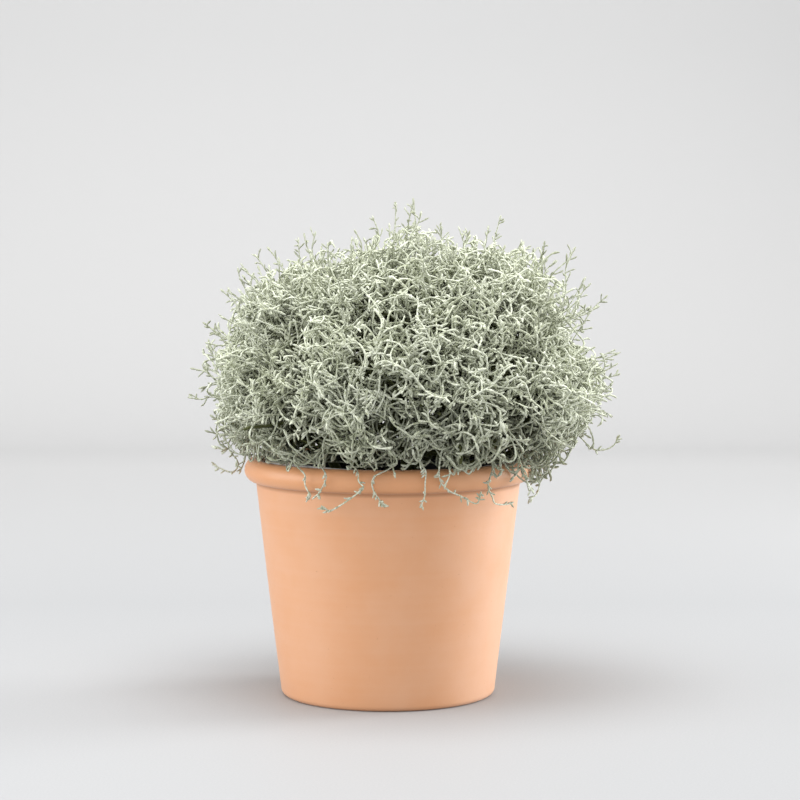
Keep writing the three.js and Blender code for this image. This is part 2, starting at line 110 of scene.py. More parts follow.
# Sprays over the rim: angle from the front in degrees, distance from the pot's axis, height
SPRAYS = (
    ((-34, 82, 131), (-32, 77.4, 121.5), (-32, 77.4, 117), (-31, 77, 113.6), (-30, 76, 111),
     (-32, 76.6, 110)),
    ((-24, 82, 131), (-23, 77.4, 121.6), (-24.6, 77.4, 115.6), (-26.7, 76.4, 112), (-28.3, 76, 110.4)),
    ((-14, 82, 132), (-10.8, 77.6, 124.3), (-10.4, 77.6, 119.3), (-8.5, 77.4, 116.2),
     (-11.8, 76.6, 112.3), (-15.2, 75.6, 109.1), (-19.2, 75, 105.8), (-22.7, 74.4, 103.8),
     (-26, 75, 106.2)),
    ((3, 83, 131), (0.7, 77.8, 125.6), (-4.6, 77.6, 121.6), (-5.4, 77.2, 116.2), (-2.7, 75.6, 109.4),
     (-0.8, 74.6, 106)),
    ((11, 84, 131), (14, 78, 124.4), (13.9, 77.4, 117.6), (14, 75.8, 111.4), (12.6, 73.8, 105.6)),
    ((18, 84, 130), (19.7, 77.6, 119.2), (23.8, 77, 113.5), (28, 76.6, 111.2), (32.5, 75.6, 108),
     (36.6, 75.4, 106.6), (37.2, 77.4, 112.6)),
    ((38, 84, 128), (40.4, 77.6, 115.4), (44, 76, 108.6), (45.8, 75.2, 105.6), (51, 75.4, 104.4),
     (56.5, 76, 104.6)),
    ((66, 94, 127), (65.1, 86, 115.4), (65.4, 84, 109), (61, 82, 106)),
    ((-93, 84, 131), (-90, 78.6, 121), (-88, 82, 116.4), (-88, 92, 120.5)),
    ((-80, 86, 134), (-79, 84, 129.6), (-80, 92, 130.6)),
    ((92, 98, 137), (89, 106, 129.4), (88, 112, 128), (88, 118, 130.6), (88, 120.5, 136)),
    ((-128, 82, 130), (-127, 77.6, 118), (-124, 75.8, 110.5), (-119, 75, 107)),
    ((128, 84, 129), (131, 77.8, 118.4), (135, 76.6, 112), (141, 75.6, 108.6)),
    ((158, 84, 131), (160, 77.8, 121), (157, 76.8, 113.6), (152, 75.6, 109)),
    ((-166, 84, 131), (-163, 77.8, 120), (-165, 76, 111), (-160, 74.8, 106.4)),
)

# Sprigs that stand out of the dome: root and tip as x, y, z
SPRIGS = (
    ((3, -24, 236), (4, -26, 257)),
    ((15, -20, 238), (13, -22, 259)),
    ((-7, -20, 232), (-8, -22, 250)),
    ((-15, -24, 226), (-17, -26, 243)),
    ((-35, -18, 222), (-37, -20, 242)),
    ((-44, -16, 218), (-46, -18, 239)),
    ((-55, -14, 214), (-62, -16, 234)),
    ((50, -14, 230), (52, -15, 245)),
    ((79, -12, 218), (81, -13, 237)),
    ((92, -10, 212), (97, -10, 234)),
    ((100, -6, 192), (114, -7, 209)),
    ((-84, -6, 184), (-96, -8, 195)),
    ((-90, -4, 165), (-103, -5, 171)),
    ((-91, -6, 156), (-104, -8, 156)),
    ((108, -4, 164), (121, -5, 168)),
    ((107, -6, 174), (120, -8, 179)),
)


# Settings

def length_setting(name, description, default):
    return FloatProperty(name=name, description=description, default=default, unit="LENGTH", precision=5)


def colour_setting(name, description, default):
    return FloatVectorProperty(name=name, description=description, default=default,
                               subtype="COLOR", min=0, max=1)


def power_setting(name, description, default):
    return FloatProperty(name=name, description=description, default=default, subtype="POWER")


def count_setting(name, description, default, least=0):
    return IntProperty(name=name, description=description, default=default, min=least)


class ClayPotSettings(PropertyGroup):
    rim_radius: length_setting("Rim radius", "Outermost radius of the rolled rim", POT_HIGH[0])
    height: length_setting("Height", "Height over the rolled rim", POT_HIGH[2])
    foot_radius: length_setting("Foot radius", "Radius just above the foot", 0.0562)
    crease_radius: length_setting("Crease radius", "Radius where the wall meets the rim", 0.0689)
    crease_height: length_setting("Crease height", "Height of the crease under the rim", 0.1114)
    fired: colour_setting("Clay colour", "Colour of the fired clay", (0.69, 0.335, 0.162))
    # The pale colour serves the real paler bands and blotches, and also the painted sheen on the right
    # side.
    pale: colour_setting("Pale clay", "Colour of the paler bands and bloom", (0.73, 0.437, 0.285))
    rim_tint: colour_setting("Rim tint", "Tint of the burnished rim", (0.98, 0.9, 0.78))
    sides: count_setting("Sides", "Faces round the pot", 160, least=24)


class NurseryPotSettings(PropertyGroup):
    wall: length_setting("Wall", "Thickness of the plastic", 0.001)
    warp: length_setting("Warp", "Lift of the lip at the front left", 0.0014)
    plastic: colour_setting("Plastic colour", "Colour of the moulded plastic", (0.045, 0.047, 0.052))
    # The pale lip colour is a painted highlight where the top of the lip catches the light.
    painted_lip_highlight: colour_setting("Worn colour", "Colour of the pale, rubbed lip", (0.74, 0.74, 0.72))
    sides: count_setting("Sides", "Faces round the pot", 120, least=24)


class SoilSettings(PropertyGroup):
    seed: count_setting("Seed", "Seed of the crumbs", 11)
    crumb: length_setting("Crumb size", "Radius of a crumb of peat", 0.0016)
    density: FloatProperty(name="Crumb density", description="Crumbs on a square metre",
                           default=90000.0, min=0)
    peat: colour_setting("Peat colour", "Colour of the damp peat", (0.028, 0.018, 0.011))


class FoliageSettings(PropertyGroup):
    seed: count_setting("Seed", "Seed of the growth", 7406)
    strands: count_setting("Strands", "Long wiry strands in the dome", 900, least=1)
    sprigs: count_setting("Sprigs", "Small sprigs that stand out of the dome", 170)
    fringe: count_setting("Fringe", "Strands that lean on the rim", 130)
    strand_radius: length_setting("Strand radius", "Radius of a long strand near its root", 0.00061)
    shoot_radius: length_setting("Shoot radius", "Radius of the finest shoots", 0.00046)
    bud_radius: length_setting("Bud radius", "Radius of the bud at a tip", 0.00082)
    branch_gap: length_setting("Branch gap", "Mean distance between side branches", 0.0064)
    shoot_gap: length_setting("Shoot gap", "Mean distance between the finest shoots", 0.0062)
    silver: colour_setting("Silver", "Colour of the woolly young growth", (0.79, 0.82, 0.695))
    green: colour_setting("Grey green", "Colour between the scale leaves", (0.35, 0.38, 0.225))
    # The old wood colour is also the painted shade given to strands low and deep in the dome.
    wood: colour_setting("Old wood", "Colour of the old growth inside", (0.082, 0.092, 0.03))


class StageSettings(PropertyGroup):
    camera_distance: length_setting("Camera distance", "From the pot's axis", 1.252)
    camera_height: length_setting("Camera height", "Above the floor", 0.242)
    camera_side: length_setting("Camera offset", "To the right of the pot's axis", 0.0063)
    camera_tilt: FloatProperty(name="Camera tilt", description="Down from level",
                               default=math.radians(4.02), subtype="ANGLE")
    lens: FloatProperty(name="Focal length", description="On a frame 36 mm wide",
                        default=108.0, subtype="DISTANCE_CAMERA")
    left_power: power_setting("Left softbox", "Power of the left softbox", 9.1)
    right_power: power_setting("Right softbox", "Power of the right softbox", 14.2)
    top_power: power_setting("Top softbox", "Power of the softbox overhead", 13.5)
    ambient: FloatProperty(name="Ambient", description="Strength of the even studio light",
                           default=1.0, min=0)
    floor: colour_setting("Floor", "Colour of the paper on the floor", (0.42, 0.425, 0.432))
    backdrop: colour_setting("Backdrop", "Colour of the paper behind", (0.628, 0.628, 0.628))


# Meshes

def new_piece(name, mesh):
    piece = bpy.data.objects.new(name, mesh)
    bpy.context.scene.collection.objects.link(piece)
    return piece


def shaped_piece(name, points, faces, smooth=True):
    mesh = bpy.data.meshes.new(name)
    mesh.from_pydata(points, [], faces)
    mesh.validate()
    if smooth:
        mesh.shade_smooth()
    return new_piece(name, mesh)


def arc(centre_radius, centre_height, half_width, half_height, start, end, steps):
    """Points of an elliptical arc, with angles in degrees from the outward direction."""
    return [(centre_radius + half_width * math.cos(angle), centre_height + half_height * math.sin(angle))
            for angle in np.radians(np.linspace(start, end, steps + 1))]


def straight(start, end, steps):
    """Points from one corner of a profile towards the next, without the last."""
    return [(start[0] + (end[0] - start[0]) * i / steps, start[1] + (end[1] - start[1]) * i / steps)
            for i in range(steps)]


def turned(profile, sides, uneven=None):
    """A turned shape from radius and height pairs that start and end on the axis."""
    points, faces = [(0, 0, profile[0][1])], []
    rows = profile[1:-1]
    for radius, height in rows:
        for k in range(sides):
            angle = 2 * math.pi * k / sides
            away = radius + (uneven(angle, radius, height) if uneven else 0)
            points.append((away * math.cos(angle), away * math.sin(angle), height))
    points.append((0, 0, profile[-1][1]))
    last = len(points) - 1
    for k in range(sides):
        after = (k + 1) % sides
        faces.append((0, 1 + after, 1 + k))
        for row in range(len(rows) - 1):
            low = 1 + row * sides
            faces.append((low + k, low + after, low + sides + after, low + sides + k))
        top = 1 + (len(rows) - 1) * sides
        faces.append((top + k, top + after, last))
    return points, faces


# Nodes

def plug(tree, socket, value):
    if isinstance(value, bpy.types.NodeSocket):
        tree.links.new(value, socket)
    else:
        socket.default_value = value


def plug_all(tree, node, **inputs):
    """Link or set a node's inputs by their names, with underscores for spaces."""
    for name, value in inputs.items():
        plug(tree, node.inputs[name.replace("_", " ")], value)


def add_node(tree, kind, settings=None, **inputs):
    node = tree.nodes.new(kind)
    for name, value in (settings or {}).items():
        setattr(node, name, value)
    plug_all(tree, node, **inputs)
    return node


def new_tree(name, kind, inputs, outputs):
    """A node group with sockets of the given names, kinds and defaults, and its two end nodes."""
    tree = bpy.data.node_groups.new(name, kind)
    for label, sort, default in inputs:
        socket = tree.interface.new_socket(label, in_out="INPUT", socket_type="NodeSocket" + sort)
        if default is not None:
            socket.default_value = default
    for label, sort in outputs:
        tree.interface.new_socket(label, in_out="OUTPUT", socket_type="NodeSocket" + sort)
    return tree, tree.nodes.new("NodeGroupInput").outputs, tree.nodes.new("NodeGroupOutput").inputs


def mix_colour(tree, factor, first, second, blend="MIX"):
    node = add_node(tree, "ShaderNodeMix", {"data_type": "RGBA", "blend_type": blend}, Factor=factor)
    for name, value in (("A", first), ("B", second)):
        plug(tree, node.inputs[name], value if isinstance(value, bpy.types.NodeSocket) else (*value, 1))
    return node.outputs["Result"]


def level(tree, value, low, high, lowest=0.0, highest=1.0):
    """A value that goes from lowest to highest while the given one goes from low to high."""
    node = add_node(tree, "ShaderNodeMapRange", Value=value, From_Min=low, From_Max=high,
                    To_Min=lowest, To_Max=highest)
    return node.outputs["Result"]


def computed(tree, operation, *values):
    """The result of a maths node."""
    node = add_node(tree, "ShaderNodeMath", {"operation": operation})
    for socket, value in zip(node.inputs, values):
        plug(tree, socket, value)
    return node.outputs["Value"]


def both(tree, first, second):
    """The mask of what two masks share."""
    return computed(tree, "MULTIPLY", first, second)


def mottle_group():
    """A shader group of uneven blotches and of fine grain, shared by every natural surface."""
    group = bpy.data.node_groups.get("mottle")
    if group:
        return group
    group, given, made = new_tree(
        "mottle", "ShaderNodeTree",
        (("Position", "Vector", None), ("Blotch Scale", "Float", 60.0), ("Grain Scale", "Float", 900.0)),
        (("Blotches", "Float"), ("Grain", "Float"), ("Relief", "Float")))
    blotches = add_node(group, "ShaderNodeTexNoise", Vector=given["Position"],
                        Scale=given["Blotch Scale"], Detail=4.0, Roughness=0.55).outputs["Fac"]
    grain = add_node(group, "ShaderNodeTexNoise", Vector=given["Position"],
                     Scale=given["Grain Scale"], Detail=3.0, Roughness=0.6).outputs["Fac"]
    grain_share = 0.6
    plug(group, made["Blotches"], blotches)
    plug(group, made["Grain"], grain)
    plug(group, made["Relief"], computed(group, "MULTIPLY_ADD", grain, grain_share, blotches))
    return group


def start_material(name, blotch_scale=60.0, grain_scale=900.0):
    """A new material with its Principled shader, object coordinates and the mottle's masks."""
    material = bpy.data.materials.new(name)
    material.use_nodes = True
    tree = material.node_tree
    place = tree.nodes.new("ShaderNodeTexCoord").outputs["Object"]
    mottle = add_node(tree, "ShaderNodeGroup", {"node_tree": mottle_group()}, Position=place,
                      Blotch_Scale=blotch_scale, Grain_Scale=grain_scale)
    return material, tree, tree.nodes["Principled BSDF"], place, mottle.outputs


def bump(tree, height, strength, distance):
    node = add_node(tree, "ShaderNodeBump", Height=height, Strength=strength, Distance=distance)
    return node.outputs["Normal"]


def shaded(colour, factor):
    return tuple(factor * part for part in colour)


def clay_material(settings):
    """Fired clay with turned bands, a painted sheen on the right side, a burnished rim, painted shade in
    the crease and dark pits.
    """
    material, tree, shader, place, mottle = start_material("clay", blotch_scale=34, grain_scale=1400)
    split = add_node(tree, "ShaderNodeSeparateXYZ", Vector=place)
    height, crease = split.outputs["Z"], settings.crease_height
    squash = add_node(tree, "ShaderNodeMapping", Vector=place, Scale=(3.0, 3.0, 260.0))
    bands = add_node(tree, "ShaderNodeTexNoise", Vector=squash.outputs["Vector"],
                     Scale=1.0, Detail=3.0).outputs["Fac"]
    pits = add_node(tree, "ShaderNodeTexVoronoi", Vector=place, Scale=210.0).outputs["Distance"]
    # Painted sheen: the right side is paled to stand in for the glancing reflection of the right softbox.
    painted_sheen = both(tree, level(tree, split.outputs["X"], 0.02, 0.075),
                 level(tree, mottle["Blotches"], 0.1, 0.6))
    rim = level(tree, height, crease + 0.0006, crease + 0.002)
    # Painted shade: a darker line in the crease under the rim, where shade falls.
    painted_crease_shade = both(tree, level(tree, height, crease - 0.0016, crease - 0.0002),
                 level(tree, height, crease + 0.0022, crease + 0.0006))
    speckle = both(tree, level(tree, pits, 0.09, 0.02), level(tree, mottle["Grain"], 0.5, 0.62))
    colour = settings.fired
    for mask, tone, blend in (
            (level(tree, mottle["Blotches"], 0.2, 1.4), settings.pale, "MIX"),
            (level(tree, bands, 0.45, 2.4), settings.pale, "MIX"),
            (painted_sheen, settings.pale, "MIX"),
            (rim, settings.rim_tint, "MULTIPLY"),
            (painted_crease_shade, shaded(settings.fired, 0.7), "MIX"),
            (speckle, shaded(settings.fired, 0.72), "MIX")):
        colour = mix_colour(tree, mask, colour, tone, blend)
    rim_polish, band_share = -0.16, 0.6
    rough = level(tree, mottle["Grain"], 0.2, 0.9, lowest=0.5, highest=0.72)
    relief = computed(tree, "MULTIPLY_ADD", bands, band_share, mottle["Relief"])
    plug_all(tree, shader, Base_Color=colour, Specular_IOR_Level=0.5, Sheen_Weight=0.15,
             Sheen_Roughness=0.4, Roughness=computed(tree, "MULTIPLY_ADD", rim, rim_polish, rough),
             Normal=bump(tree, relief, strength=0.35, distance=0.0002))
    return material


def plastic_material(settings):
    """Satin plastic with a painted highlight along the top of its lip."""
    material, tree, shader, place, mottle = start_material("nursery_plastic", blotch_scale=90)
    height = add_node(tree, "ShaderNodeSeparateXYZ", Vector=place).outputs["Z"]
    # Painted highlight: the top of the lip is paled where it catches the light.
    painted_lip_highlight = both(tree, level(tree, height, LIP_HIGH[2] - 0.0012, LIP_HIGH[2] - 0.0002),
                level(tree, mottle["Blotches"], 0.2, 0.5))
    plug_all(tree, shader, Base_Color=mix_colour(tree, painted_lip_highlight, settings.plastic, settings.painted_lip_highlight),
             Roughness=level(tree, mottle["Grain"], -0.3, 1.2),
             Normal=bump(tree, mottle["Relief"], strength=0.15, distance=0.0001))
    return material


def peat_material(settings):
    """Damp peat in two browns."""
    material, tree, shader, _, mottle = start_material("peat", blotch_scale=220)
    patches = level(tree, mottle["Blotches"], 0.35, 0.7)
    plug_all(tree, shader,
             Base_Color=mix_colour(tree, patches, settings.peat, shaded(settings.peat, 2.3)),
             Roughness=level(tree, mottle["Grain"], -1.5, 0.6),
             Normal=bump(tree, mottle["Relief"], strength=0.8, distance=0.0006))
    return material


def foliage_material(settings):
    """Silver wool over grey green, darkened towards the old wood colour on old growth and in painted
    shade, point by point.
    """
    material, tree, shader, _, mottle = start_material("foliage", blotch_scale=45)
    fresh_and_shade = add_node(tree, "ShaderNodeAttribute", {"attribute_name": "freshness_and_shade"}).outputs["Fac"]
    young = mix_colour(tree, level(tree, mottle["Grain"], 0.3, 0.56), settings.green, settings.silver)
    young = mix_colour(tree, level(tree, mottle["Blotches"], 0.45, 0.95), young, settings.green)
    # The attribute darkens strands towards the old wood colour, for old growth and for painted shade low
    # and deep in the dome.
    plug_all(tree, shader, Base_Color=mix_colour(tree, fresh_and_shade, settings.wood, young),
             Roughness=level(tree, mottle["Grain"], -1.4, 0.9),
             Specular_IOR_Level=0.2, Sheen_Weight=0.12, Sheen_Roughness=0.5,
             Normal=bump(tree, mottle["Relief"], strength=0.5, distance=0.0003))
    return material


def stage_material(settings):
    """Matt paper, lighter up the backdrop, with painted shade a little darker on the right of the floor.
    """
    material, tree, shader, place, mottle = start_material("studio_paper")
    split = add_node(tree, "ShaderNodeSeparateXYZ", Vector=place)
    behind = level(tree, split.outputs["Y"], 0.3, 1.2)
    # Painted shade: the paper is darkened a little on the right of the floor, to tone down the right
    # softbox's light there.
    right = both(tree, level(tree, split.outputs["X"], -0.3, 0.5),
                 level(tree, split.outputs["Y"], 1.3, 0.5))
    colour = mix_colour(tree, behind, settings.floor, settings.backdrop)
    plug_all(tree, shader, Base_Color=mix_colour(tree, right, colour, (0.86, 0.86, 0.86), "MULTIPLY"),
             Roughness=level(tree, mottle["Grain"], -0.6, 1.2), Specular_IOR_Level=0.2)
    return material


# The dome

def unit(vectors):
    return vectors / np.maximum(np.linalg.norm(vectors, axis=-1, keepdims=True), 1e-9)


def dome_half(vectors):
    half = np.broadcast_to(DOME_HALF, vectors.shape).copy()
    half[vectors[..., 2] < 0, 2] = DOME_DROP
    return half


def dome_reach(directions):
    """Distance from the dome's centre to its outermost tips in each direction."""
    parts = np.abs(directions / dome_half(directions)) ** DOME_SQUARENESS
    reach = parts.sum(axis=-1) ** (-1 / DOME_SQUARENESS)
    for x, y, z, width, extra in TUFTS + SWELLS:
        towards = unit(np.array([x, y, z], float))
        off = np.degrees(np.arccos(np.clip(directions @ towards, -1, 1))) / width
        reach = reach * (1 + extra * np.exp(-off * off))
    angle = np.degrees(np.arctan2(directions[..., 2], directions[..., 0]))
    sideways = directions[..., 0] ** 2 + directions[..., 2] ** 2
    for middle, width, extra in RIDGES:
        off = ((angle - middle + 180) % 360 - 180) / width
        reach = reach * (1 + extra * sideways * np.exp(-off * off))
    return reach


def dome_share(points):
    """Share of the way from the dome's centre to its surface."""
    offset = points - DOME_CENTRE
    return np.linalg.norm(offset, axis=-1) / dome_reach(unit(offset))


def dome_outward(points):
    """Direction straight out of the dome."""
    offset = points - DOME_CENTRE
    half = dome_half(offset)
    slope = np.sign(offset) * np.abs(offset / half) ** (DOME_SQUARENESS - 1) / half
    return unit(slope)


def even_directions(number):
    """Even directions over a sphere, from a golden-angle spiral."""
    i = np.arange(number)
    height = 1 - 2 * (i + 0.5) / number
    across = np.sqrt(1 - height * height)
    turn = math.pi * (3 - math.sqrt(5)) * i
    return np.stack([across * np.cos(turn), across * np.sin(turn), height], axis=1)


def point_round(angle, radius, height):
    turn = math.radians(angle)
    return (radius * math.sin(turn), -radius * math.cos(turn), height)


def stem_feet_and_heads():
    feet, heads = [], []
    for number, foot, reach, height, turn in STEM_RINGS:
        for i in range(number):
            angle = math.radians(turn) + 2 * math.pi * i / number
            out = np.array([math.cos(angle), math.sin(angle), 0])
            feet.append(foot * out)
            heads.append(DOME_CENTRE * (1, 1, 0) + reach * out + (0, 0, height))
    return np.array(feet), np.array(heads)


def nearest_head(points, heads):
    return np.argmin(np.linalg.norm(points[:, None] - heads[None], axis=-1), axis=1)


# Growth

# Lengths are in millimetres. Strands are their points, the number of steps of each and its stem,
# and a set of them also holds the thickness and the youth of the growth, with painted shade, at each
# point.

LONG_STEP, TWIG_STEP, SHOOT_STEP, SPRAY_STEP, WOOD_STEP, STEM_STEP = 2.4, 2.0, 1.5, 1.5, 3.0, 2.5
POT_CLEARANCE = 1.2
FINE_RADIUS = 0.6  # sets of strands whose roots are finer than this have three sides


def keep_off_pots(points):
    """Lift points out of the pots, or push them out past the rim, whichever is nearer."""
    rim_side = POT_HIGH[0] / MM + POT_CLEARANCE
    rim_top = POT_HIGH[2] / MM + POT_CLEARANCE
    radius = np.linalg.norm(points[..., :2], axis=-1)
    hit = (radius < rim_side) & (points[..., 2] < rim_top)
    outer = hit & (rim_side - radius < rim_top - points[..., 2])
    above = hit & ~outer
    points[..., 2][above] = rim_top
    scale = np.where(outer, rim_side / np.maximum(radius, 1), 1)
    points[..., 0] *= scale
    points[..., 1] *= scale
    return points


def wander(starts, headings, lengths, limits, rng, step, curl):
    """Strands that meander from their starts and bend along the dome where they reach their limit."""
    count = int(math.ceil(lengths.max() / step))
    points = np.empty((len(starts), count + 1, 3))
    points[:, 0] = starts
    bend = rng.normal(size=starts.shape)
    memory, jitter = 0.75, 0.66
    for k in range(count):
        here = points[:, k]
        bend = memory * bend + jitter * rng.normal(size=starts.shape)
        share = dome_share(here)
        turned_back = 14 * np.clip(share - limits, 0, 0.2)
        pushed_out = 0.5 * np.clip(0.72 - share, 0, 0.5)
        steer = (pushed_out - turned_back)[:, None] * dome_outward(here)
        headings = unit(headings + curl * bend + steer)
        points[:, k + 1] = keep_off_pots(here + step * headings)
    steps = np.maximum(np.round(lengths / step).astype(int), 2)
    return points, np.minimum(steps, count)


def thickness_along(points, steps, root, tip, bud, rng):
    """Uneven thickness with the bumps of scale leaves, and a bud at the end."""
    scale_leaf, unevenness, bud_end = 0.16, 0.07, 0.45
    k, last = np.arange(points.shape[1])[None], steps[:, None]
    thick = root + (tip - root) * np.clip(k / last, 0, 1)
    bumps = scale_leaf * np.where(k % 2, 1, -1)
    thick = thick * (1 + bumps + rng.normal(0, unevenness, points.shape[:2]))
    thick = np.where(k == last - 1, bud * rng.uniform(0.8, 1.2, (len(points), 1)), thick)
    return np.where(k == last, bud_end * bud, thick)


def freshness_and_shade_along(points, rank):
    """1 on the young outer growth and 0 on the old wood inside, and less low in the dome; the drop inward
    is also painted shade deep in the thicket, and the drop low down is painted shade under the overhang.
    """
    share = dome_share(points)
    # The drop inward is the old wood, and also painted shade deep in the thicket.
    outer = np.clip((share - 0.56) / 0.3, 0, 1)
    # Painted shade: strands low in the dome are darkened for the shade under the overhang.
    high = np.clip((points[..., 2] - 100) / 50, 0.6, 1)
    return outer * np.where(share < 1, high, 1) * rank


def side_starts(points, steps, stems, rng, step, gap, lowest_share=0.0):
    """Places along strands where side branches grow, with the strand's direction and stem there.

    Where only the outer part of the dome bears them, they are sparser low in the dome.
    """
    here, after = points[:, :-1], points[:, 1:]
    k = np.arange(here.shape[1])[None]
    sparse = np.clip((here[..., 2] - 112) / 50, 0.45, 1) if lowest_share else 1
    chosen = (k >= 1) & (k < steps[:, None] - 1) & (rng.random(here.shape[:2]) < sparse * step / gap)
    chosen &= dome_share(here) > lowest_share
    stem = np.broadcast_to(stems[:, None], chosen.shape)[chosen]
    return here[chosen], unit(after - here)[chosen], stem


def turn_aside(along, starts, rng, low, high, pull):
    """Headings at a wide angle to the strand, pulled a little out of the dome."""
    side = unit(np.cross(along, rng.normal(size=along.shape)))
    angle = rng.uniform(low, high, len(along))[:, None]
    heading = along * np.cos(angle) + side * np.sin(angle)
    return unit(heading + pull * dome_outward(starts))


def smooth_line(points, step):
    """Points at even steps on a smooth line through the given ones."""
    points = np.array(points, float)
    padded = np.vstack([2 * points[0] - points[1], points, 2 * points[-1] - points[-2]])
    fine, parts = [], 12
    for i in range(1, len(padded) - 2):
        a, b, c, d = padded[i - 1:i + 3]
        for t in np.linspace(0, 1, parts, endpoint=False):
            fine.append(0.5 * (2 * b + (c - a) * t + (2 * a - 5 * b + 4 * c - d) * t * t
                               + (3 * b - a - 3 * c + d) * t ** 3))
    fine.append(padded[-2])
    fine = np.array(fine)
    far = np.concatenate([[0], np.cumsum(np.linalg.norm(np.diff(fine, axis=0), axis=1))])
    places = np.linspace(0, far[-1], max(int(round(far[-1] / step)), 3) + 1)
    return np.stack([np.interp(places, far, fine[:, axis]) for axis in range(3)], axis=1)


def stack_lines(lines):
    """Lines of different lengths as one padded array, with the number of steps of each."""
    longest = max(len(line) for line in lines)
    points = [np.vstack([line, np.repeat(line[-1:], longest - len(line), axis=0)]) for line in lines]
    return np.array(points), np.array([len(line) - 1 for line in lines])


def grow_long_strands(settings, heads, rng):
    """Long strands from inside each stem's head, out to the dome and along it.

    A skirt of them leans on the rim, all round but for the gap that shows the nursery pot's lip.
    """
    sphere_to_dome, gap = 1.6, (-72, -34)
    skirt_radius, skirt_height, scatter = (74, 96), (122, 131), 9
    targets = even_directions(int(settings.strands * sphere_to_dome))
    targets = targets[(targets[:, 2] > -0.2) | (targets[:, 2] > -0.5) & (targets[:, 0] > 0.6)]
    tips = DOME_CENTRE + targets * dome_reach(targets)[:, None]
    turn = rng.uniform(-180, 180, settings.fringe)
    turn = turn[(turn < gap[0]) | (turn > gap[1])]
    skirt_places = zip(turn, rng.uniform(*skirt_radius, len(turn)), rng.uniform(*skirt_height, len(turn)))
    skirt = np.array([point_round(*place) for place in skirt_places])
    tips = np.vstack([tips, skirt]) if len(skirt) else tips
    stems = nearest_head(tips + rng.normal(0, scatter, tips.shape), heads)
    roots = heads[stems] + rng.normal(0, scatter, tips.shape)
    roots = roots + (tips - roots) * rng.uniform(0, 0.45, (len(tips), 1))
    headings = unit(unit(tips - roots) + rng.normal(0, 0.5, tips.shape))
    lengths = np.linalg.norm(tips - roots, axis=1) * 1.05 + rng.uniform(4, 38, len(tips))
    limits = rng.normal(0.82, 0.05, len(tips))
    roots = keep_off_pots(roots)
    return *wander(roots, headings, lengths, limits, rng, step=LONG_STEP, curl=0.22), stems


def grow_twigs(settings, long_strands, rng):
    """Forking side twigs of the long strands."""
    starts, along, stems = side_starts(*long_strands, rng, step=LONG_STEP,
                                       gap=settings.branch_gap / MM, lowest_share=0.6)
    headings = turn_aside(along, starts, rng, low=0.7, high=1.4, pull=0.5)
    shortest, longest = 3, 30
    lengths = np.minimum(rng.gamma(3.0, 3.6, len(starts)) + shortest, longest)
    limits = rng.normal(0.87, 0.055, len(starts))
    return *wander(starts, headings, lengths, limits, rng, step=TWIG_STEP, curl=0.24), stems


def grow_shoots(settings, long_strands, twigs, rng):
    """The finest shoots of the long strands and of their twigs."""
    found = [side_starts(*strands, rng, step=step, gap=settings.shoot_gap / MM, lowest_share=0.74)
             for strands, step in ((long_strands, LONG_STEP), (twigs, TWIG_STEP))]
    starts, along, stems = (np.concatenate(part) for part in zip(*found))
    headings = turn_aside(along, starts, rng, low=0.7, high=1.2, pull=0.45)
    lengths = rng.uniform(2.2, 5.6, len(starts))
    limits = rng.normal(0.96, 0.05, len(starts))
    return *wander(starts, headings, lengths, limits, rng, step=SHOOT_STEP, curl=0.16), stems


def grow_foliage(settings):
    """All strands of the bush, from the long ones to the finest shoots."""
    rng = np.random.default_rng(settings.seed)
    feet, heads = stem_feet_and_heads()
    strand, shoot, bud = (value / MM for value in
                          (settings.strand_radius, settings.shoot_radius, settings.bud_radius))
    sets = []

    def keep(strands, root, tip, rank=1.0):
        points, steps, stems = strands
        thick = thickness_along(points, steps, root, tip, bud * tip / shoot, rng)
        sets.append((points, steps, thick, freshness_and_shade_along(points, rank), stems))

    long_strands = grow_long_strands(settings, heads, rng)
    keep(long_strands, root=strand, tip=0.82 * strand)
    twigs = grow_twigs(settings, long_strands, rng)
    keep(twigs, root=0.93 * strand, tip=1.05 * shoot)
    keep(grow_shoots(settings, long_strands, twigs, rng), root=shoot, tip=0.85 * shoot)
    grow_inner_wood(keep, heads, strand, rng)
    grow_hanging_sprays(keep, heads, strand, shoot, rng)
    grow_standing_sprigs(keep, heads, [*SPRIGS, *loose_sprigs(settings, rng)], strand, shoot, rng)
    grow_bare_stems(keep, feet, heads)
    return sets


def grow_inner_wood(keep, heads, strand, rng):
    """Old twigs that wind about deep inside the dome."""
    twigs_each, scatter = 12, 10
    stems = np.tile(np.arange(len(heads)), twigs_each)
    starts = keep_off_pots(heads[stems] + rng.normal(0, scatter, (len(stems), 3)))
    headings = unit(rng.normal(size=starts.shape))
    lengths = rng.uniform(70, 130, len(stems))
    limits = np.full(len(stems), 0.6)
    wood = wander(starts, headings, lengths, limits, rng, step=WOOD_STEP, curl=0.2)
    keep((*wood, stems), root=1.5 * strand, tip=strand, rank=0.0)


def add_short_shoots(keep, strands, rng, step, gap, longest, radius, rank):
    """Short shoots along strands, free of the dome's limit."""
    starts, along, stems = side_starts(*strands, rng, step=step, gap=gap)
    headings = turn_aside(along, starts, rng, low=0.6, high=1.2, pull=0.2)
    lengths = rng.uniform(0.35 * longest, longest, len(starts))
    limits = np.full(len(starts), 2.0)
    tips = wander(starts, headings, lengths, limits, rng, step=SHOOT_STEP, curl=0.16)
    keep((*tips, stems), root=radius, tip=0.85 * radius, rank=rank)


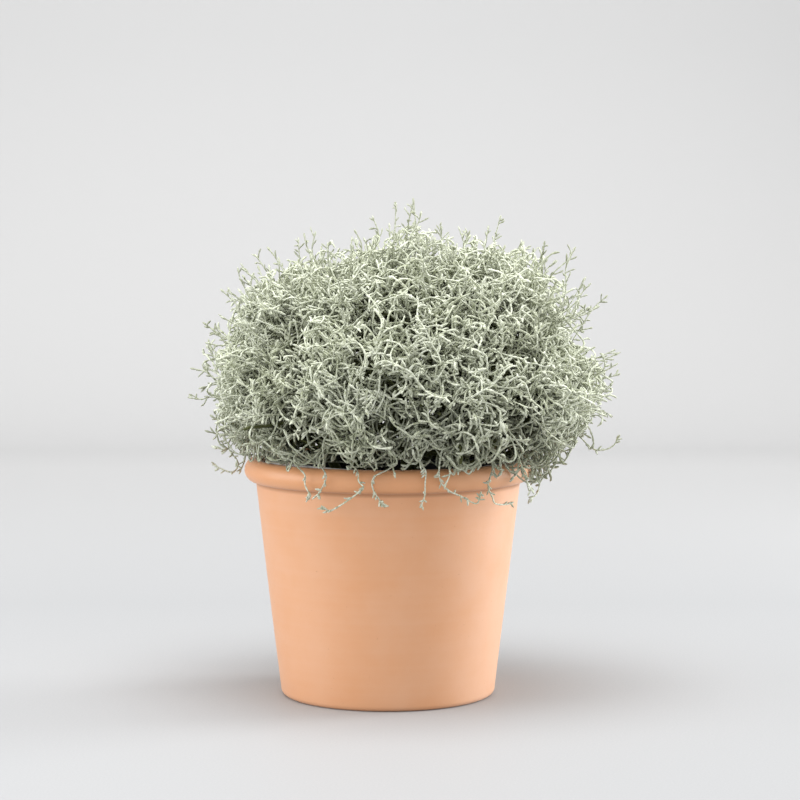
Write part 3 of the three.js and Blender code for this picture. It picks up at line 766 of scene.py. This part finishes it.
def grow_hanging_sprays(keep, heads, strand, shoot, rng):
    """The sprays that hang over the rim, where the stems' own solids have them."""
    lines, stems = [], []
    for spray in SPRAYS:
        line = np.array([point_round(*place) for place in spray])
        stem = int(nearest_head(line[:1], heads)[0])
        root = heads[stem] + 0.35 * (line[0] - heads[stem])
        lines.append(smooth_line(np.vstack([root, line]), SPRAY_STEP))
        stems.append(stem)
    end_points = 5
    ends = np.array([line[-end_points:] for line in lines])
    sprays = (*stack_lines(lines), np.array(stems))
    keep(sprays, root=0.82 * strand, tip=0.95 * shoot, rank=0.95)
    add_short_shoots(keep, sprays, rng, step=SPRAY_STEP, gap=4.0, longest=3.8,
                     radius=0.9 * shoot, rank=0.9)
    add_short_shoots(keep, (ends, np.full(len(ends), end_points), np.array(stems)), rng, step=1.0,
                     gap=1.0, longest=2.6, radius=0.9 * shoot, rank=0.9)


def loose_sprigs(settings, rng):
    """Roots and tips of small sprigs that stand out all over the dome."""
    out = even_directions(2 * settings.sprigs)
    out = unit(out + rng.normal(0, 0.12, out.shape))
    out = out[out[:, 2] > -0.1]
    reach = dome_reach(out)[:, None]
    roots = DOME_CENTRE + out * reach * 0.86
    leans = unit(dome_outward(roots) + rng.normal(0, 0.3, out.shape))
    lengths = rng.uniform(9, 21, len(out))
    return [(root, root + lean * length) for root, lean, length in zip(roots, leans, lengths)]


def grow_standing_sprigs(keep, heads, sprigs, strand, shoot, rng):
    """Sprigs with short shoots that stand out of the dome."""
    lines, stems = [], []
    for root, tip in sprigs:
        root, tip = np.array(root, float), np.array(tip, float)
        deep = root + 0.9 * (root - tip) + rng.normal(0, 2, 3)
        bend = root + 0.5 * (tip - root) + rng.normal(0, 1.3, 3)
        lines.append(smooth_line([deep, root, bend, tip], SPRAY_STEP))
        stems.append(int(nearest_head(root[None], heads)[0]))
    standing = (*stack_lines(lines), np.array(stems))
    keep(standing, root=0.66 * strand, tip=0.9 * shoot, rank=0.8)
    add_short_shoots(keep, standing, rng, step=SPRAY_STEP, gap=3.2, longest=6.5,
                     radius=0.85 * shoot, rank=0.66)


def grow_bare_stems(keep, feet, heads):
    """The woody stem of each head, from its hole in the soil up into the head."""
    ground, depth = SOIL_HIGH[2] / MM, 14
    lines = []
    for foot, head in zip(feet, heads):
        collar = foot + (0, 0, ground + 1.5)
        knee = collar + 0.45 * (head - collar) + (0, 0, 7)
        lines.append(smooth_line([foot + (0, 0, ground - depth), collar, knee, head], STEM_STEP))
    keep((*stack_lines(lines), np.arange(len(heads))), root=2.0, tip=1.3, rank=0.0)


# Pieces

def end_tree(tree, geometry, material, socket):
    """Real geometry with its material, at the end of a node tree."""
    whole = add_node(tree, "GeometryNodeRealizeInstances", Geometry=geometry)
    finish = add_node(tree, "GeometryNodeSetMaterial", Geometry=whole.outputs["Geometry"],
                      Material=material)
    tree.links.new(finish.outputs["Geometry"], socket)


def strand_tree():
    """Geometry nodes that turn guide lines into closed strands with a given thickness."""
    tree = bpy.data.node_groups.get("wiry_strands")
    if tree:
        return tree
    tree, given, made = new_tree(
        "wiry_strands", "GeometryNodeTree",
        (("Guides", "Geometry", None), ("Strand Sides", "Int", 4), ("Shoot Sides", "Int", 3),
         ("Material", "Material", None)),
        (("Strands", "Geometry"),))
    thickness, fine = (
        add_node(tree, "GeometryNodeInputNamedAttribute", {"data_type": kind}, Name=label).outputs[0]
        for kind, label in (("FLOAT", "thickness"), ("BOOLEAN", "fine")))
    parts = add_node(tree, "GeometryNodeSeparateGeometry", Geometry=given["Guides"], Selection=fine)
    joined = tree.nodes.new("GeometryNodeJoinGeometry")
    for part, sides in (("Selection", "Shoot Sides"), ("Inverted", "Strand Sides")):
        curves = add_node(tree, "GeometryNodeMeshToCurve", Mesh=parts.outputs[part])
        ring = add_node(tree, "GeometryNodeCurvePrimitiveCircle", Resolution=given[sides], Radius=1.0)
        skin = add_node(tree, "GeometryNodeCurveToMesh", Curve=curves.outputs["Curve"],
                        Profile_Curve=ring.outputs["Curve"], Scale=thickness, Fill_Caps=True)
        tree.links.new(skin.outputs["Mesh"], joined.inputs["Geometry"])
    soft = add_node(tree, "GeometryNodeSetShadeSmooth", Geometry=joined.outputs["Geometry"])
    end_tree(tree, soft.outputs["Geometry"], given["Material"], made["Strands"])
    return tree


def set_inputs(modifier, values):
    """Set a node modifier's inputs by their sockets' identifiers."""
    for item in modifier.node_group.interface.items_tree:
        if item.item_type == "SOCKET" and item.in_out == "INPUT" and item.name in values:
            modifier[item.identifier] = values[item.name]


def evaluated_mesh(piece):
    """The mesh of a piece with its modifiers applied."""
    graph = bpy.context.evaluated_depsgraph_get()
    return bpy.data.meshes.new_from_object(piece.evaluated_get(graph), depsgraph=graph)


def baked(name, guide, tree, values):
    """The evaluated result of a node tree as a plain mesh in a new piece."""
    modifier = guide.modifiers.new(tree.name, "NODES")
    modifier.node_group = tree
    set_inputs(modifier, values)
    mesh = evaluated_mesh(guide)
    mesh.name = name
    source = guide.data
    bpy.data.objects.remove(guide)
    bpy.data.meshes.remove(source)
    return new_piece(name, mesh)


def guide_mesh(name, sets, stem):
    """Guide lines of one stem as a mesh of edges, with the thickness and the youth of the growth, with
    painted shade, at each point.
    """
    places, edges, thick, fresh_and_shade, fine, base = [], [], [], [], [], 0
    for points, steps, thickness, freshness_and_shade, stems in sets:
        mine = stems == stem
        if not mine.any():
            continue
        points, steps = points[mine], steps[mine]
        used = np.arange(points.shape[1])[None] <= steps[:, None]
        index = np.cumsum(used.ravel()).reshape(used.shape) - 1 + base
        linked = used[:, 1:]
        edges.append(np.stack([index[:, :-1][linked], index[:, 1:][linked]], axis=1))
        places.append(points[used])
        thick.append(thickness[mine][used])
        fresh_and_shade.append(freshness_and_shade[mine][used])
        fine.append(np.full(int(used.sum()), thickness[mine][:, 0].mean() < FINE_RADIUS))
        base += int(used.sum())
    places, edges = np.concatenate(places) * MM, np.concatenate(edges)
    mesh = bpy.data.meshes.new(name)
    mesh.vertices.add(len(places))
    mesh.vertices.foreach_set("co", places.ravel())
    mesh.edges.add(len(edges))
    mesh.edges.foreach_set("vertices", edges.ravel().astype(np.int32))
    for label, values in (("thickness", np.concatenate(thick) * MM),
                          ("freshness_and_shade", np.concatenate(fresh_and_shade))):
        attribute = mesh.attributes.new(label, "FLOAT", "POINT")
        attribute.data.foreach_set("value", values.astype(np.float32))
    mesh.attributes.new("fine", "BOOLEAN", "POINT").data.foreach_set("value", np.concatenate(fine))
    mesh.update()
    return mesh


def crumb_tree():
    """Geometry nodes that strew uneven crumbs over a surface and keep the surface."""
    tree, given, made = new_tree(
        "soil_crumbs", "GeometryNodeTree",
        (("Ground", "Geometry", None), ("Density", "Float", None), ("Crumb", "Float", None),
         ("Seed", "Int", None), ("Material", "Material", None)),
        (("Soil", "Geometry"),))
    normal = tree.nodes.new("GeometryNodeInputNormal").outputs["Normal"]
    split = add_node(tree, "ShaderNodeSeparateXYZ", Vector=normal)
    compare = {"data_type": "FLOAT", "operation": "GREATER_THAN"}
    facing_up = add_node(tree, "FunctionNodeCompare", compare, A=split.outputs["Z"], B=0.5)
    spread = add_node(tree, "GeometryNodeDistributePointsOnFaces", Mesh=given["Ground"],
                      Selection=facing_up.outputs["Result"], Density=given["Density"],
                      Seed=given["Seed"])
    crumb = add_node(tree, "GeometryNodeMeshIcoSphere", Radius=given["Crumb"], Subdivisions=1)
    turn = add_node(tree, "FunctionNodeRandomValue", {"data_type": "FLOAT_VECTOR"},
                    Max=(6.28, 6.28, 6.28), Seed=3)
    size = add_node(tree, "FunctionNodeRandomValue", {"data_type": "FLOAT_VECTOR"},
                    Min=(0.4, 0.3, 0.3), Max=(1.3, 1.0, 0.8), Seed=5)
    strewn = add_node(tree, "GeometryNodeInstanceOnPoints", Points=spread.outputs["Points"],
                      Instance=crumb.outputs["Mesh"], Rotation=turn.outputs["Value"],
                      Scale=size.outputs["Value"])
    joined = tree.nodes.new("GeometryNodeJoinGeometry")
    tree.links.new(strewn.outputs["Instances"], joined.inputs["Geometry"])
    tree.links.new(given["Ground"], joined.inputs["Geometry"])
    end_tree(tree, joined.outputs["Geometry"], given["Material"], made["Soil"])
    return tree


def potter_unevenness(angle, radius, height):
    """How far the potter's hand leaves the wall from a true turned shape."""
    sway = 0.00016 * math.sin(2 * angle + 18 * height) + 0.00008 * math.sin(5 * angle - 40 * height)
    rings = 0.00004 * math.sin(900 * height) * math.sin(310 * height)
    return (sway + rings) * min(1, radius / 0.02)


def warped(settings, point):
    """Lift a point of the nursery pot's lip where it has warped, at the front left."""
    middle, width, depth, blend = -54, 30, 0.014, 0.01
    x, y, z = point
    off = (math.degrees(math.atan2(x, -y)) - middle) / width
    high = min(max((z - LIP_HIGH[2] + depth) / blend, 0), 1)
    return x, y, z + settings.warp * high * math.exp(-off * off)


def pierce(piece):
    """Cut a ring of drain holes through the base."""
    points, faces = [], []
    holes, sides, radius, ring, reach = 6, 20, 0.004, 0.034, 0.003
    for i in range(holes):
        turn = 2 * math.pi * (i + 0.5) / holes
        first = len(points)
        for height in (LIP_LOW[2] - reach, LIP_LOW[2] + reach):
            for k in range(sides):
                angle = 2 * math.pi * k / sides
                points.append((ring * math.cos(turn) + radius * math.cos(angle),
                               ring * math.sin(turn) + radius * math.sin(angle), height))
        faces.append(tuple(first + k for k in reversed(range(sides))))
        faces.append(tuple(first + sides + k for k in range(sides)))
        for k in range(sides):
            after = (k + 1) % sides
            faces.append((first + k, first + after, first + sides + after, first + sides + k))
    drill = shaped_piece("drain_drill", points, faces, smooth=False)
    cut = piece.modifiers.new("drain_holes", "BOOLEAN")
    cut.operation = "DIFFERENCE"
    cut.solver = "EXACT"
    cut.object = drill
    pierced = evaluated_mesh(piece)
    piece.modifiers.clear()
    piece.data = pierced
    bpy.data.objects.remove(drill)


def lay_paper(settings):
    """A sheet of paper that runs along the floor and curves up behind."""
    front, bend, radius, top, half = -3.0, 1.4, 0.5, 3.0, 3.5
    curve = [(bend + radius * math.sin(angle), radius * (1 - math.cos(angle)))
             for angle in np.linspace(0.05, math.pi / 2, 24)]
    line = [(front, 0), (bend, 0), *curve, (bend + radius, top)]
    points = [(x, y, z) for y, z in line for x in (-half, half)]
    faces = [(2 * i, 2 * i + 1, 2 * i + 3, 2 * i + 2) for i in range(len(line) - 1)]
    paper = shaped_piece("studio_paper", points, faces)
    paper.data.materials.append(stage_material(settings))


def add_softbox(name, power, place, aim_height, size):
    """A rectangular light that faces the pot's axis at a given height."""
    data = bpy.data.lights.new(name, "AREA")
    data.shape = "RECTANGLE"
    data.size, data.size_y = size
    data.energy = power
    light = bpy.data.objects.new(name, data)
    light.location = place
    across, up = math.hypot(place[0], place[1]), place[2] - aim_height
    light.rotation_euler = (math.atan2(across, up), 0, math.atan2(place[1], place[0]) + math.pi / 2)
    bpy.context.scene.collection.objects.link(light)


# Operators

class BUSH_OT_clay_pot(Operator):
    """Turn the clay pot with its rolled rim"""
    bl_idname = "bush.clay_pot"
    bl_label = "Clay Pot"

    def execute(self, context):
        s = context.scene.bush_clay
        roll_half, roll_rise = 0.0054, 0.006
        roll_centre, roll_height = s.rim_radius - roll_half, s.height - roll_rise
        rounding, floor, near_axis = 0.003, 0.009, 0.0001
        crease_step, crease_rise = 0.0009, 0.0006
        foot = (s.foot_radius, rounding)
        crease = (s.crease_radius, s.crease_height)
        mouth = (0.0632, roll_height - roll_rise)
        corner = (0.0505, floor + rounding)
        profile = [
            (0, 0), *straight((near_axis, 0), (s.foot_radius - rounding, 0), 6),
            *arc(s.foot_radius - rounding, rounding, rounding, rounding, -90, -7, 6),
            *straight(foot, crease, 40)[1:],
            *arc(crease[0] + crease_step, crease[1], crease_step, crease_rise, 180, 90, 3),
            *arc(roll_centre, roll_height, roll_half, roll_rise, -62, 180, 36),
            *straight(mouth, corner, 24),
            *arc(corner[0] - rounding, corner[1], rounding, rounding, 0, -90, 5),
            (0, floor),
        ]
        points, faces = turned(profile, s.sides, potter_unevenness)
        piece = shaped_piece("clay_pot_turned", points, faces)
        piece.data.materials.append(clay_material(s))
        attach(piece, BODY)
        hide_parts("clay_pot")
        return {"FINISHED"}


class BUSH_OT_nursery_pot(Operator):
    """Mould the thin nursery pot with its lip and drain holes"""
    bl_idname = "bush.nursery_pot"
    bl_label = "Nursery Pot"

    def execute(self, context):
        s = context.scene.bush_nursery
        base, top = LIP_LOW[2], LIP_HIGH[2]
        lip = LIP_HIGH[0]
        shoulder = top - 0.004
        foot_radius, shoulder_radius = 0.0455, 0.0602
        inner_foot, inner_radius = foot_radius - s.wall, shoulder_radius - s.wall
        profile = [
            (0, base), *straight((0.0001, base), (foot_radius - 0.0015, base), 4),
            (foot_radius - 0.0004, base + 0.0004),
            *straight((foot_radius + 0.0002, base + 0.0015), (shoulder_radius, shoulder), 24),
            (shoulder_radius, shoulder), (lip - 0.0012, shoulder + 0.0006),
            (lip - 0.0002, shoulder + 0.0011), (lip, shoulder + 0.0018), (lip, top - 0.0005),
            (lip - 0.0002, top - 0.0001), (lip - 0.0005, top), (lip - 0.0009, top),
            (lip - 0.0011, top - 0.0002), (lip - 0.0016, shoulder + 0.0022),
            (inner_radius, shoulder + 0.0012),
            *straight((inner_radius, shoulder), (inner_foot, base + 0.0013), 24)[1:],
            (inner_foot, base + 0.0013), (0, base + 0.0012),
        ]
        points, faces = turned(profile, s.sides)
        points = [warped(s, point) for point in points]
        piece = shaped_piece("nursery_pot_moulded", points, faces)
        pierce(piece)
        piece.data.materials.clear()
        piece.data.materials.append(plastic_material(s))
        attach(piece, BODY)
        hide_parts("nursery_pot")
        return {"FINISHED"}


class BUSH_OT_soil(Operator):
    """Fill the nursery pot with crumbly peat"""
    bl_idname = "bush.soil"
    bl_label = "Soil"

    def execute(self, context):
        s = context.scene.bush_soil
        radius, foot_radius, surface = SOIL_HIGH[0], 0.0444, SOIL_HIGH[2] - 0.0035
        edge, mound, lump = 0.0006, 0.0018, 0.0005
        rings, sides = 20, 72
        rows = [(ring * radius / rings, surface + mound * math.cos(math.pi * ring / (2 * rings)))
                for ring in range(rings - 1, 0, -1)]
        profile = [(0, SOIL_LOW[2]), (foot_radius, SOIL_LOW[2]), (radius, surface - edge), *rows,
                   (0, surface + mound)]
        points, faces = turned(profile, sides)
        shift = np.random.default_rng(s.seed).normal(0, lump, len(points))
        top = surface - 0.0004
        points = [(x, y, z + (dz if z > top else 0)) for (x, y, z), dz in zip(points, shift)]
        guide = shaped_piece("soil_ground", points, faces)
        piece = baked("soil_crumbled", guide, crumb_tree(), {
            "Density": s.density, "Crumb": s.crumb, "Seed": s.seed, "Material": peat_material(s)})
        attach(piece, BODY)
        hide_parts("soil")
        return {"FINISHED"}


class BUSH_OT_foliage(Operator):
    """Grow the wiry foliage of every stem"""
    bl_idname = "bush.foliage"
    bl_label = "Foliage"

    def execute(self, context):
        s = context.scene.bush_foliage
        sets = grow_foliage(s)
        material = foliage_material(s)
        for stem, node in enumerate(STEM_NODES):
            name = node.replace("bush_stem", "wiry_stem")
            guide = new_piece(name + "_guide", guide_mesh(name + "_guide", sets, stem))
            piece = baked(name, guide, strand_tree(), {"Material": material})
            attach(piece, BODY)
            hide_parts(node)
        return {"FINISHED"}


class BUSH_OT_stage(Operator):
    """Set up the floor, the backdrop, the studio light and the camera"""
    bl_idname = "bush.stage"
    bl_label = "Stage"

    def execute(self, context):
        s = context.scene.bush_stage
        lay_paper(s)
        for name, power, place, aim_height, size in (
                ("left_softbox", s.left_power, (-1.3, -0.2, 0.34), 0.16, (1.1, 0.64)),
                ("right_softbox", s.right_power, (1.15, 0.35, 0.34), 0.15, (0.5, 0.64)),
                ("top_softbox", s.top_power, (0, -0.2, 1.25), 0.15, (0.8, 0.8))):
            add_softbox(name, power, place, aim_height, size)
        world = bpy.data.worlds.new("studio")
        world.use_nodes = True
        tree = world.node_tree
        plug_all(tree, tree.nodes["Background"], Color=(1, 1, 1, 1), Strength=s.ambient)
        context.scene.world = world
        context.scene.view_settings.view_transform = "Standard"
        data = bpy.data.cameras.new("camera")
        data.lens = s.lens
        data.sensor_width = 36
        camera = bpy.data.objects.new("camera", data)
        camera.location = (s.camera_side, -s.camera_distance, s.camera_height)
        camera.rotation_euler = (math.radians(90) - s.camera_tilt, 0, 0)
        context.scene.collection.objects.link(camera)
        context.scene.camera = camera
        return {"FINISHED"}


class BUSH_PT_panel(Panel):
    """Steps that dress the potted cushion bush"""
    bl_idname = "BUSH_PT_panel"
    bl_label = "Cushion Bush"
    bl_space_type = "VIEW_3D"
    bl_region_type = "UI"
    bl_category = "Cushion Bush"

    def draw(self, context):
        for operator in OPERATORS:
            self.layout.operator(operator.bl_idname)


SETTINGS = {
    "bush_clay": ClayPotSettings,
    "bush_nursery": NurseryPotSettings,
    "bush_soil": SoilSettings,
    "bush_foliage": FoliageSettings,
    "bush_stage": StageSettings,
}
OPERATORS = (BUSH_OT_stage, BUSH_OT_clay_pot, BUSH_OT_nursery_pot, BUSH_OT_soil, BUSH_OT_foliage)


def register():
    for group in SETTINGS.values():
        bpy.utils.register_class(group)
    for operator in OPERATORS:
        bpy.utils.register_class(operator)
    bpy.utils.register_class(BUSH_PT_panel)
    for name, group in SETTINGS.items():
        setattr(bpy.types.Scene, name, PointerProperty(type=group))


def unregister():
    for name in SETTINGS:
        delattr(bpy.types.Scene, name)
    bpy.utils.unregister_class(BUSH_PT_panel)
    for operator in reversed(OPERATORS):
        bpy.utils.unregister_class(operator)
    for group in SETTINGS.values():
        bpy.utils.unregister_class(group)


def main():
    register()
    bpy.ops.bush.stage()
    bpy.ops.bush.clay_pot()
    bpy.ops.bush.nursery_pot()
    bpy.ops.bush.soil()
    bpy.ops.bush.foliage()


if __name__ == "__main__":
    main()
